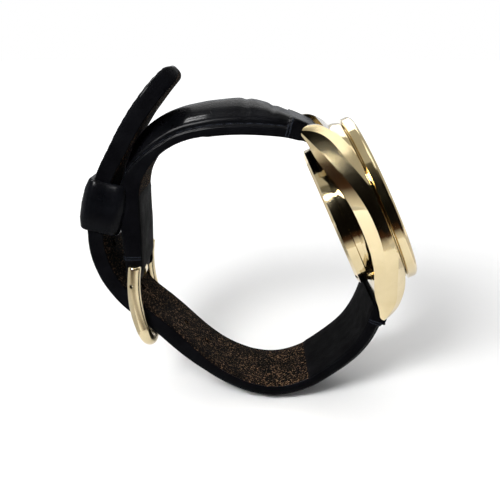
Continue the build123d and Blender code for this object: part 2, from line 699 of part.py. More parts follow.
with BuildPart() as strap_12_lining:
    with BuildSketch(SIDE.offset(-STRAP_WIDE / 2)):
        layer(ROUTE_12, 1, lambda t: LINING_T - t / 2, lambda t: -t / 2)
        with Locations(BAR_12, BUCKLE_BAR):
            Circle(FOLD_R, mode=Mode.SUBTRACT)
    extrude(amount=STRAP_WIDE)
    trim_width()
    tang_notch()
    keeper_ring(mode=Mode.SUBTRACT)
save(strap_12_lining, "strap_12_lining")

TANG_BACK = [(-26.0, 26.4), (-26.0, 22.0), (-25.0, 16.6), (-24.0, 12.4)]
TANG_FRONT = [(-24.9, 25.4), (-24.8, 22.0), (-23.85, 16.4), (-23.12, 12.8)]


def tang_blade(behind=0.0, before=0.0):
    """The tang's blade in the side view, or the slot it needs in the leather, wider by two amounts."""
    with BuildLine() as border:
        back = Spline(*[(x - behind, z) for x, z in TANG_BACK])
        front = Spline(*[(x + before, z) for x, z in TANG_FRONT])
        Line(back @ 0, front @ 0)
        Line(back @ 1, front @ 1)
    make_face(border.edges())


# the free holes of the row, as distances along the strap's middle line
with BuildLine(SIDE) as strap_6_line:
    Spline(*[(x, z) for x, z, thick in ROUTE_6])
LENGTH_6 = strap_6_line.edges()[0].length
HOLE_PITCH = 6.3
TANG_AT = 63.5  # where the row's place is the tang's slot instead of a round hole
HOLES = [TANG_AT + HOLE_PITCH * step for step in (-2, -1, 1, 2, 3, 4)]
HOLE_R = 0.8


def strap_6_holes():
    """The slanting slot that the tang goes through and the round holes left free."""
    line = strap_6_line.edges()[0]
    with BuildSketch(SIDE.offset(-TANG_WIDE / 2 - 0.3)) as slot:
        tang_blade(behind=0.65, before=0.35)
    extrude(slot.sketch, amount=TANG_WIDE + 0.6, mode=Mode.SUBTRACT)
    for distance in HOLES:
        at, along = line @ (distance / LENGTH_6), line % (distance / LENGTH_6)
        across = Plane(origin=at - Vector(along.Z, 0, -along.X) * 4, x_dir=along,
                       z_dir=(along.Z, 0, -along.X))
        with BuildSketch(across) as outline:
            Circle(HOLE_R)
        extrude(outline.sketch, amount=8, mode=Mode.SUBTRACT)


def tail_tip():
    """Round the strap's tail, seen from the buckle's side."""
    with BuildSketch(BEHIND.offset(-40)) as outline:
        with BuildLine():
            start = (STRAP_NARROW / 2, 62.5)
            Polyline((-start[0], start[1]), (-14, -2), (14, -2), start)
            ThreePointArc(start, (0, 70.2), (-start[0], start[1]))
        make_face()
    extrude(outline.sketch, amount=80, mode=Mode.INTERSECT)


with BuildPart() as strap_6_upper:
    with BuildSketch(SIDE.offset(-STRAP_WIDE / 2)):
        layer(ROUTE_6, -1, lambda t: t / 2, lambda t: LINING_T - t / 2)
        with Locations(BAR_6):
            Circle(FOLD_R)
    extrude(amount=STRAP_WIDE)
    trim_width()
    tunnel(BAR_6)
    tail_tip()
    strap_6_holes()
save(strap_6_upper, "strap_6_upper")

with BuildPart() as strap_6_lining:
    with BuildSketch(SIDE.offset(-STRAP_WIDE / 2)):
        layer(ROUTE_6, -1, lambda t: LINING_T - t / 2, lambda t: -t / 2)
        with Locations(BAR_6):
            Circle(FOLD_R, mode=Mode.SUBTRACT)
    extrude(amount=STRAP_WIDE)
    trim_width()
    tail_tip()
    strap_6_holes()
save(strap_6_lining, "strap_6_lining")

# ================= buckle =================

ARM_Y = STRAP_NARROW / 2 + 0.35 + ROD_R
ARM_ROUTE = [(-23.92, 31.0), (-24.22, 23.5), (-22.95, 17.32)]  # an arm's middle line in the side view
CORNER_R = 3.7
ROD_END_R = 0.45
EYE_R = 1.5  # of the tang's eye round the spring bar

with BuildPart() as buckle_frame:
    # one arm down to the corner, the end bar across the strap, and the other arm back up
    with BuildLine() as rod:
        for side in (-1, 1):
            arm = ThreePointArc(*[GROUND + Vector(x, side * ARM_Y, z) for x, z in ARM_ROUTE])
            corner_end = arm @ 1 + (arm % 1) * CORNER_R - Vector(0, side * CORNER_R, 0)
            corner = TangentArc(arm @ 1, corner_end, tangent=arm % 1)
            Line(corner @ 1, Vector((corner @ 1).X, 0, (corner @ 1).Z))
    path = rod.wires()[0]
    with BuildSketch(Plane(origin=path @ 0, z_dir=path % 0)):
        Circle(ROD_R)
    sweep(path=path)
    fillet(buckle_frame.faces().filter_by(GeomType.PLANE).edges(), ROD_END_R)
    with BuildSketch(SIDE.offset(-15)):
        with Locations(BUCKLE_BAR):
            Circle(PIN_R + FIT)
    extrude(amount=30, mode=Mode.SUBTRACT)
save(buckle_frame, "buckle_frame")

with BuildPart() as buckle_tang:
    with BuildSketch(SIDE.offset(-TANG_WIDE / 2)):
        tang_blade()
        with Locations(BUCKLE_BAR):
            Circle(EYE_R)
    extrude(amount=TANG_WIDE)
    with BuildSketch(SIDE.offset(-1.2)):
        with Locations(BUCKLE_BAR):
            Circle(EYE_R)
    extrude(amount=2.4)
    with BuildSketch(SIDE.offset(-2)):
        with Locations(BUCKLE_BAR):
            Circle(BAR_R + 0.05)
    extrude(amount=4, mode=Mode.SUBTRACT)
save(buckle_tang, "buckle_tang")
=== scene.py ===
"""Looks of a dress wristwatch that stands buckled on the lowest curve of its leather strap.

Lengths are in metres, in the model's own frame: the origin is the centre of the caseback's outer
face, Z is up, Y runs from the 9 o'clock side to the crown, and X runs from the buckle to the head.
The strap's side view is drawn in millimetres from the point on the ground under the loop.
"""
from __future__ import annotations

import json
import logging
import math
from abc import ABC, abstractmethod
from dataclasses import dataclass, field
from enum import Enum
from typing import Callable, Sequence

import bmesh
import bpy
import numpy as np
from mathutils import Matrix, Vector, noise


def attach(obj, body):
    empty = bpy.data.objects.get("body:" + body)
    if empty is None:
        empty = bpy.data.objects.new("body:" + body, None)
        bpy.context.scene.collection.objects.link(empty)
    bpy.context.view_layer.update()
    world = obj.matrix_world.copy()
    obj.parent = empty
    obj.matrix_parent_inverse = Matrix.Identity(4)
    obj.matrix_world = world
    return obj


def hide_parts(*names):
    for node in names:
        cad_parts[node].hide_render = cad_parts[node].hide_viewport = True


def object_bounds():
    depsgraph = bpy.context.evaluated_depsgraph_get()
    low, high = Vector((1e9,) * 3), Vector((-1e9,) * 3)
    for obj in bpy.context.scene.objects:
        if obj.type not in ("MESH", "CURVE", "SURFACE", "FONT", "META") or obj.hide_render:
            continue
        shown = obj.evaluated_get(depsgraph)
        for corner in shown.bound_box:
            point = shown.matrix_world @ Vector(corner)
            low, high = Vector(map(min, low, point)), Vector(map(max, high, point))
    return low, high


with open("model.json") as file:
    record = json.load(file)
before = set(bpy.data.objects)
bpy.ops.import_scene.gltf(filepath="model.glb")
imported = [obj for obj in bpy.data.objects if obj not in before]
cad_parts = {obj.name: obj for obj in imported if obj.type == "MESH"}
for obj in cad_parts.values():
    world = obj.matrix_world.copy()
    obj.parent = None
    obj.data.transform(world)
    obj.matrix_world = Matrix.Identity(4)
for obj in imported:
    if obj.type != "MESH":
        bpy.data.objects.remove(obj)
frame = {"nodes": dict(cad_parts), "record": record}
CAD_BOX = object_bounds()
LOG = logging.getLogger("wristwatch")

MM = 0.001

# where the strap's side view is measured from, in mm
HEAD_TILT = math.radians(24.7)
NORMAL = Vector((math.cos(HEAD_TILT), 0, math.sin(HEAD_TILT)))
TWELVE = Vector((-math.sin(HEAD_TILT), 0, math.cos(HEAD_TILT)))
ACROSS = Vector((0, 1, 0))
LUG_LINE = NORMAL * 2.6  # the middle of the line between the lug tips
GROUND = LUG_LINE - Vector((18.4, 0, 39.6))

Pair = tuple[float, float]
Point3 = tuple[float, float, float]
Colour = tuple[float, float, float]
Loop = list[Vector]
Shades = Sequence[tuple[float, Colour]]
Strip = list[tuple[Point3, Point3]]
Socket = bpy.types.NodeSocket
Material = bpy.types.Material
Mesh = bpy.types.Mesh
Piece = bpy.types.Object


def side_view(x: float, z: float) -> Vector:
    """Turn a place in the strap's side view, in mm, into a point of the model, in metres."""
    return (GROUND + Vector((x, 0, z))) * MM


def unit(value: float) -> float:
    """Keep a value within 0 to 1."""
    return min(max(value, 0.0), 1.0)


def ease(value: float, start: float, stop: float) -> float:
    """Rise smoothly from 0 at start to 1 at stop."""
    share = unit((value - start) / (stop - start))
    return share * share * (3 - 2 * share)


# ================= finishes =================


class Slot(Enum):
    """The material slots of the record, one named with each new piece."""

    LEATHER = "black_leather"
    LINING = "brown_lining"
    DIAL = "dial_face"


@dataclass
class Graph:
    """The node tree of a material or of the world, with short calls for its nodes.

    Args:
        owner: The new material or world.
        kind: The name of its one shader.
    """

    owner: bpy.types.ID
    kind: str = "Principled BSDF"
    shader: bpy.types.Node = field(init=False)

    def __post_init__(self) -> None:
        """Make the tree with its shader."""
        self.owner.use_nodes = True
        self.shader = self.owner.node_tree.nodes[self.kind]

    def join(self, value: object, socket: Socket) -> None:
        """Link an output socket to an input, or set a plain value on it."""
        if isinstance(value, Socket):
            self.owner.node_tree.links.new(value, socket)
        else:
            socket.default_value = value

    def set(self, node: bpy.types.Node | None = None, **sockets: object) -> None:
        """Join the sockets of a node, or of the shader, with underscores for the spaces in their names."""
        for name, value in sockets.items():
            self.join(value, (node or self.shader).inputs[name.replace("_", " ")])

    def add(self, kind: str, settings: dict | None = None, **sockets: object) -> bpy.types.Node:
        """Add a node.

        Args:
            kind: The node's type without its ShaderNode prefix.
            settings: The node's own properties.
            **sockets: Input values or the output sockets to join to them.

        Returns:
            The new node.
        """
        node = self.owner.node_tree.nodes.new("ShaderNode" + kind)
        for name, value in (settings or {}).items():
            setattr(node, name, value)
        self.set(node, **sockets)
        return node

    def place(self, stretch: Point3 = (1, 1, 1)) -> Socket:
        """The object's own coordinates, stretched along its axes."""
        here = self.add("TexCoord").outputs["Object"]
        return self.add("Mapping", Vector=here, Scale=stretch).outputs["Vector"]

    def noise(self, size: float, detail: float = 2.0, roughness: float = 0.5,
              at: Socket | None = None) -> Socket:
        """Cloudy noise from 0 to 1 whose patches are about a size in metres."""
        return self.add("TexNoise", Vector=at or self.place(), Scale=1 / size, Detail=detail,
                        Roughness=roughness).outputs["Fac"]

    def ramp(self, value: Socket, stops: Shades) -> Socket:
        """Turn a value into a colour by (place, colour) stops."""
        node = self.add("ValToRGB", Fac=value)
        band = node.color_ramp
        band.elements[0].position, band.elements[-1].position = stops[0][0], stops[-1][0]
        for place, _ in stops[1:-1]:
            band.elements.new(place)
        for element, (_, colour) in zip(band.elements, stops):
            element.color = (*colour, 1)
        return node.outputs["Color"]

    def range(self, value: Socket, low: float, high: float, start: float = 0.0,
              stop: float = 1.0) -> Socket:
        """Map a value that runs from start to stop onto low to high."""
        return self.add("MapRange", Value=value, From_Min=start, From_Max=stop, To_Min=low,
                        To_Max=high).outputs["Result"]

    def spread(self, cloud: Socket, low: float, high: float) -> Socket:
        """Map the values that a noise mostly has onto low to high."""
        return self.range(cloud, low, high, 0.3, 0.7)

    def bump(self, height: Socket, depth: float, strength: float = 1.0,
             under: Socket | None = None) -> Socket:
        """A bump of a depth in metres, laid over another one if it is given."""
        node = self.add("Bump", Height=height, Distance=depth, Strength=strength)
        if under:
            self.join(under, node.inputs["Normal"])
        return node.outputs["Normal"]

    def combine(self, operation: str, first: Socket, second: Socket) -> Socket:
        """Put two values through an operation of the Math node."""
        node = self.add("Math", {"operation": operation})
        self.join(first, node.inputs[0])
        self.join(second, node.inputs[1])
        return node.outputs[0]

    def visible_rays(self) -> Socket:
        """1 for rays that show a surface to the camera directly, in a mirror or through glass."""
        rays = self.add("LightPath").outputs
        mirrored = self.combine("MAXIMUM", rays["Is Camera Ray"], rays["Is Glossy Ray"])
        return self.combine("MAXIMUM", mirrored, rays["Is Transmission Ray"])


class Finish(ABC):
    """A procedural finish."""

    def material(self, name: str) -> Material:
        """Build the finish as a material of that name."""
        graph = Graph(bpy.data.materials.new(name))
        self.paint(graph)
        return graph.owner

    @abstractmethod
    def paint(self, graph: Graph) -> None:
        """Join the sockets of the graph's shader."""


@dataclass(frozen=True)
class MottledFinish(Finish):
    """Plastic, lacquer, rubber, ink or board with a faint mottle and a fine surface.

    Args:
        colour: Main colour, linear.
        mottle: The colour it drifts to.
        rough: Roughness of the one and of the other.
        texture: Depth of the surface's texture, in metres.
        patch: Size of the mottle, in metres.
        full: Value of the cloud from which the mottle is at its fullest.
    """

    colour: Colour
    mottle: Colour
    rough: Pair
    texture: float = 0.000002
    patch: float = 0.003
    full: float = 0.68

    def paint(self, graph: Graph) -> None:
        """Join the sockets of the graph's shader."""
        cloud = graph.noise(self.patch, detail=4.0)
        graph.set(Base_Color=graph.ramp(cloud, [(0.35, self.colour), (self.full, self.mottle)]),
                  Roughness=graph.spread(cloud, *self.rough),
                  Normal=graph.bump(self.marks(graph), self.texture))

    def marks(self, graph: Graph) -> Socket:
        """The surface's fine relief."""
        return graph.noise(0.0003)


@dataclass(frozen=True)
class MetalFinish(MottledFinish):
    """Polished, plated or brushed metal with duller patches and faint drawn-out marks.

    Its main colour is that of the duller patches, which drifts to that of the clean metal.
    """

    patch: float = 0.006
    full: float = 0.62

    def paint(self, graph: Graph) -> None:
        """Join the sockets of the graph's shader."""
        super().paint(graph)
        graph.set(Metallic=1.0)

    def marks(self, graph: Graph) -> Socket:
        """The handling marks, drawn out across the metal."""
        return graph.noise(0.0009, detail=3.0, at=graph.place((1, 6, 1)))


@dataclass(frozen=True)
class LeatherFinish(Finish):
    """Glazed black leather with pores, fine creases and a soft sheen.

    Args:
        colour: The dye, linear.
        worn: The colour where handling has dulled it.
        rough: Lowest and highest roughness.
        coat: Weight of the glaze.
        grain: Depth of the grain, in metres.
        worn_size: Size of the worn patches, in metres.
        dull_size: Size of the patches of one roughness, in metres.
        crease_size: Distance between the creases, in metres.
        pore_size: Distance between the pores, in metres.
    """

    colour: Colour
    worn: Colour
    rough: Pair
    coat: float
    grain: float
    worn_size: float = 0.005
    dull_size: float = 0.0022
    crease_size: float = 0.0011
    pore_size: float = 0.00045

    def paint(self, graph: Graph) -> None:
        """Join the sockets of the graph's shader."""
        cloud = graph.noise(self.worn_size, detail=4.0)
        cells = graph.add("TexVoronoi", {"feature": "DISTANCE_TO_EDGE"}, Vector=graph.place(),
                          Scale=1 / self.crease_size).outputs["Distance"]
        creases = graph.range(cells, 0.0, 1.0, 0.0, 0.16)
        pores = graph.bump(graph.noise(self.pore_size, detail=4.0, roughness=0.6), self.grain * 1.6)
        graph.set(Coat_Weight=self.coat, Coat_Roughness=0.15, Coat_IOR=1.35, Specular_IOR_Level=0.012,
                  Base_Color=graph.ramp(cloud, [(0.35, self.colour), (0.72, self.worn)]),
                  Roughness=graph.spread(graph.noise(self.dull_size, detail=3.0), *self.rough),
                  Normal=graph.bump(creases, self.grain, 0.22, under=pores))


@dataclass(frozen=True)
class SuedeFinish(Finish):
    """Napped lining leather, dark with lighter tufts.

    Args:
        dark: The colour between the tufts.
        middle: The general colour.
        light: The colour of the raised tufts.
        nap: Depth of the nap, in metres.
        tuft_size: Distance between the tufts, in metres.
        patch: Size of the rubbed patches, in metres.
    """

    dark: Colour
    middle: Colour
    light: Colour
    nap: float
    tuft_size: float = 0.00042
    patch: float = 0.006

    def paint(self, graph: Graph) -> None:
        """Join the sockets of the graph's shader."""
        tufts = graph.noise(self.tuft_size, detail=8.0, roughness=0.75)
        speckle = graph.ramp(tufts, [(0.46, self.dark), (0.54, self.middle), (0.62, self.light)])
        cloud = graph.range(graph.noise(self.patch, detail=3.0), 0.0, 0.7, 0.4, 0.65)
        mix = graph.add("Mix", {"data_type": "RGBA"})
        graph.join(cloud, mix.inputs["Factor"])
        graph.join(speckle, mix.inputs[6])  # its colour A
        graph.join((*self.dark, 1), mix.inputs[7])  # its colour B
        graph.set(Roughness=0.95, Specular_IOR_Level=0.02, Sheen_Weight=0.01, Sheen_Roughness=0.5,
                  Base_Color=mix.outputs[2], Normal=graph.bump(tufts, self.nap))


@dataclass(frozen=True)
class GlassFinish(Finish):
    """Clear mineral crystal.

    Args:
        index: Its refractive index.
    """

    index: float

    def paint(self, graph: Graph) -> None:
        """Join the sockets of the graph's shader."""
        graph.set(Base_Color=(1, 1, 1, 1), Transmission_Weight=1.0, IOR=self.index,
                  Roughness=graph.range(graph.noise(0.004), 0.0, 0.02))


@dataclass(frozen=True)
class ThreadFinish(Finish):
    """Waxed sewing thread, twisted, with painted shade in the hollows between its strands.

    Args:
        colour: The thread's colour, linear.
        hollow: Painted shade between its strands, a darker copy of the thread's colour.
    """

    colour: Colour
    hollow: Colour

    def paint(self, graph: Graph) -> None:
        """Join the sockets of the graph's shader."""
        twist = graph.add("TexWave", {"bands_direction": "DIAGONAL"}, Vector=graph.place(),
                          Scale=1400.0, Distortion=1.5).outputs["Fac"]
        # the twist's grooves take the hollow colour: painted shade between the strands
        graph.set(Roughness=0.7, Specular_IOR_Level=0.06, Sheen_Weight=0.01,
                  Base_Color=graph.ramp(twist, [(0.2, self.hollow), (0.7, self.colour)]),
                  Normal=graph.bump(twist, 0.00004))


STRAP_FINISHES = {
    "glazed_leather": LeatherFinish(
        (0.0009, 0.0010, 0.0013), (0.0024, 0.0025, 0.0032), (0.24, 0.40), coat=0.14, grain=0.00007),
    "keeper_leather": LeatherFinish(
        (0.0010, 0.0011, 0.0015), (0.0024, 0.0026, 0.0034), (0.20, 0.32), coat=0.17, grain=0.00002),
    "edge_paint": LeatherFinish(
        (0.0010, 0.0010, 0.0014), (0.0022, 0.0023, 0.0030), (0.42, 0.60), coat=0.02, grain=0.00003),
    "flap_leather": LeatherFinish(
        (0.0010, 0.0010, 0.0012), (0.0026, 0.0027, 0.0030), (0.55, 0.70), coat=0.0, grain=0.00003),
    "napped_lining": SuedeFinish(
        (0.0008, 0.0006, 0.0005), (0.0040, 0.0027, 0.0018), (0.24, 0.145, 0.080), nap=0.00012),
    "waxed_thread": ThreadFinish((0.007, 0.009, 0.014), (0.002, 0.0025, 0.004)),
}
INK = MottledFinish((0.012, 0.012, 0.013), (0.02, 0.02, 0.02), (0.4, 0.5))

CAD_FINISHES = {
    "gold_case": MetalFinish((0.66, 0.54, 0.32), (0.74, 0.62, 0.385), (0.13, 0.05), texture=0.0000012),
    "gold_buckle": MetalFinish((0.60, 0.50, 0.31), (0.72, 0.61, 0.39), (0.22, 0.10), texture=0.0000022),
    "gold_dial_trim": MetalFinish((0.80, 0.60, 0.30), (0.86, 0.66, 0.34), (0.2, 0.12), texture=0.0000008),
    "crystal_glass": GlassFinish(1.52),
    "dial_face": MottledFinish((0.79, 0.76, 0.67), (0.74, 0.71, 0.62), (0.3, 0.4)),
    "seal_rubber": MottledFinish((0.012, 0.012, 0.013), (0.02, 0.02, 0.021), (0.6, 0.75), texture=0.00001),
    "holder_plastic": MottledFinish((0.55, 0.55, 0.53), (0.48, 0.48, 0.46), (0.4, 0.5)),
    "movement_brass": MetalFinish((0.62, 0.46, 0.2), (0.74, 0.56, 0.26), (0.36, 0.22)),
    "train_plastic": MottledFinish((0.70, 0.68, 0.60), (0.62, 0.60, 0.52), (0.35, 0.5)),
    "steel": MetalFinish((0.50, 0.49, 0.47), (0.62, 0.61, 0.59), (0.34, 0.2)),
    "coil_copper": MetalFinish((0.55, 0.23, 0.11), (0.72, 0.33, 0.17), (0.4, 0.25), texture=0.00001,
                               patch=0.0006),
    "board_green": MottledFinish((0.015, 0.10, 0.045), (0.01, 0.07, 0.03), (0.35, 0.5)),
    "black_leather": STRAP_FINISHES["glazed_leather"],
    "brown_lining": STRAP_FINISHES["napped_lining"],
}


# ================= mesh tools =================


def case_piece(name: str, mesh: Mesh, slot: Slot, *materials: Material, crease: float = 38.0) -> Piece:
    """Link a mesh as a piece of the case's body, smooth between its sharp edges.

    Args:
        name: The piece's name.
        mesh: Its finished mesh.
        slot: The record's slot that its finish belongs to. Not used.
        *materials: Its materials, in slot order.
        crease: The angle over which an edge stays sharp, in degrees.

    Returns:
        The new object.
    """
    for material in materials:
        mesh.materials.append(material)
    mesh.shade_smooth()
    mesh.set_sharp_from_angle(angle=math.radians(crease))
    piece = linked(name, mesh)
    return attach(piece, "case")


def linked(name: str, data: bpy.types.ID) -> Piece:
    """Make an object of a mesh, lamp or camera and link it to the scene."""
    thing = bpy.data.objects.new(name, data)
    bpy.context.scene.collection.objects.link(thing)
    return thing


def skin(loops: Sequence[Loop], closed: bool = False, slots: Sequence[int] | None = None) -> Mesh:
    """Make a closed skin over loops that all have the same number of points.

    Args:
        loops: The loops in order, each a closed ring of points.
        closed: Whether the last loop joins the first; otherwise both ends are capped.
        slots: Material index of each strip along the loops.

    Returns:
        The mesh, with its faces turned outward.
    """
    work = bmesh.new()
    rings = [[work.verts.new(point) for point in loop] for loop in loops]
    count = len(rings[0])
    slots = slots or [0] * count
    for near, far in zip(rings, rings[1:] + rings[:1] if closed else rings[1:]):
        for index, slot in enumerate(slots):
            after = (index + 1) % count
            face = work.faces.new((near[index], near[after], far[after], far[index]))
            face.material_index = slot
    if not closed:
        for end in (rings[0], rings[-1]):
            work.faces.new(end).material_index = slots[0]
    bmesh.ops.remove_doubles(work, verts=work.verts, dist=1e-7)
    bmesh.ops.dissolve_degenerate(work, edges=work.edges, dist=1e-7)
    bmesh.ops.recalc_face_normals(work, faces=work.faces)
    return to_mesh(work, "skin")


def to_mesh(work: bmesh.types.BMesh, name: str) -> Mesh:
    """Turn a bmesh into a new mesh of that name and free it."""
    mesh = bpy.data.meshes.new(name)
    work.to_mesh(mesh)
    work.free()
    return mesh


def joined(meshes: Sequence[Mesh]) -> Mesh:
    """Join several meshes into one and drop the separate ones."""
    work = bmesh.new()
    for mesh in meshes:
        work.from_mesh(mesh)
        bpy.data.meshes.remove(mesh)
    return to_mesh(work, "whole")


def circle(count: int) -> list[float]:
    """Evenly spaced angles round a full turn, in radians."""
    return [2 * math.pi * step / count for step in range(count)]


def bead(start: Vector, end: Vector, radius: float, lift: Vector, arch: float) -> Mesh:
    """A stitch: a short round-ended length of thread that rises a little in its middle.

    Args:
        start: Where it comes out of the leather.
        end: Where it goes back in.
        radius: The thread's radius.
        lift: The direction that it rises in.
        arch: How far its middle rises.

    Returns:
        Its mesh.
    """
    along = (end - start).normalized()
    side = along.cross(lift).normalized()
    upward = side.cross(along)
    loops = []
    for share in (-0.98, -0.85, -0.6, -0.2, 0.2, 0.6, 0.85, 0.98):
        at = start.lerp(end, (share + 1) / 2) + lift * (arch * (1 - share * share))
        wide = radius * (1 - share**4) ** 0.5
        loops.append([at + (side * math.cos(turn) + upward * math.sin(turn)) * wide
                      for turn in circle(8)])
    return skin(loops)


def spline_through(knots: np.ndarray, values: np.ndarray) -> Callable[[float], np.ndarray]:
    """Run a natural cubic spline through values at rising knots.

    Args:
        knots: Rising parameter values.
        values: One row of numbers for each knot.

    Returns:
        A function from a parameter to its row of numbers.
    """
    gaps = np.diff(knots)
    slopes = np.diff(values, axis=0) / gaps[:, None]
    count = len(knots)
    system = np.eye(count)
    right = np.zeros_like(values)
    for row in range(1, count - 1):
        system[row, row - 1:row + 2] = gaps[row - 1], 2 * (gaps[row - 1] + gaps[row]), gaps[row]
        right[row] = 6 * (slopes[row] - slopes[row - 1])
    bends = np.linalg.solve(system, right)

    def at(place: float) -> np.ndarray:
        """The row of numbers at a parameter."""
        row = int(np.clip(np.searchsorted(knots, place) - 1, 0, count - 2))
        gap = gaps[row]
        before, after = place - knots[row], knots[row + 1] - place
        line = (values[row] * after + values[row + 1] * before) / gap
        curve = (bends[row] * (after**3 / gap - gap * after)
                 + bends[row + 1] * (before**3 / gap - gap * before))
        return line + curve / 6

    return at


# ================= strap =================

DOME_STEPS = (0, 0.02, 0.06, 0.12, 0.2, 0.32, 0.46, 0.62, 0.8, 1.0, 1.25, 1.6, 2.0, 2.5, 3.1, 3.8, 4.6,
              5.3, 5.9)  # insets of the section's points from the foot of the padding, mm


@dataclass(frozen=True)
class Station:
    """One place along a strap's middle line.

    Args:
        at: The point in the middle of the leather.
        along: Unit direction towards the far end.
        outward: Unit direction out of the loop.
        thickness: Full thickness of the leather there, mm.
        distance: Distance from the lug's spring bar, mm.
    """

    at: Vector
    along: Vector
    outward: Vector
    thickness: float
    distance: float

    def point(self, across: float, height: float) -> Vector:
        """The point that far across the strap and outward from its middle, both in mm."""
        return self.at + (ACROSS * across + self.outward * height) * MM

    def ring(self, half: Sequence[Pair], squash: float, lift: float = 0.0) -> Loop:
        """A closed section from its half on one side of the strap's middle.

        Args:
            half: The (across, height) points of the half, mm.
            squash: What the heights are multiplied by.
            lift: What is then added to them, mm.

        Returns:
            The half's mirror image and then the half itself, backwards.
        """
        mirrored = [self.point(-across, height * squash + lift) for across, height in half]
        return mirrored + [self.point(across, height * squash + lift) for across, height in reversed(half)]


@dataclass
class StrapLine:
    """A strap's smooth middle line in the side view.

    Args:
        route: X, Z and thickness in mm, from the lug's spring bar to the far end.
        outward: 1 if the outside of the loop is on the right of the route, else -1.
    """

    route: Sequence[Point3]
    outward: int
    length: float = field(init=False)

    def __post_init__(self) -> None:
        """Lay the spline through the route."""
        places = np.array(self.route)
        steps = np.hypot(*np.diff(places[:, :2], axis=0).T)
        knots = np.concatenate(([0.0], np.cumsum(steps)))
        self.length = float(knots[-1])
        self.curve = spline_through(knots, places)

    def station(self, distance: float) -> Station:
        """The place at a distance along the strap, or in line with its end where that is beyond."""
        inside = min(max(distance, 0.0), self.length)
        x, z, thickness = self.curve(inside)
        step = 0.05
        low, high = max(inside - step, 0.0), min(inside + step, self.length)
        ahead = self.curve(high) - self.curve(low)
        along = Vector((ahead[0], 0, ahead[1])).normalized()
        outward = Vector((along.z, 0, -along.x)) * self.outward
        at = side_view(x, z) + along * ((distance - inside) * MM)
        return Station(at, along, outward, float(thickness), distance)


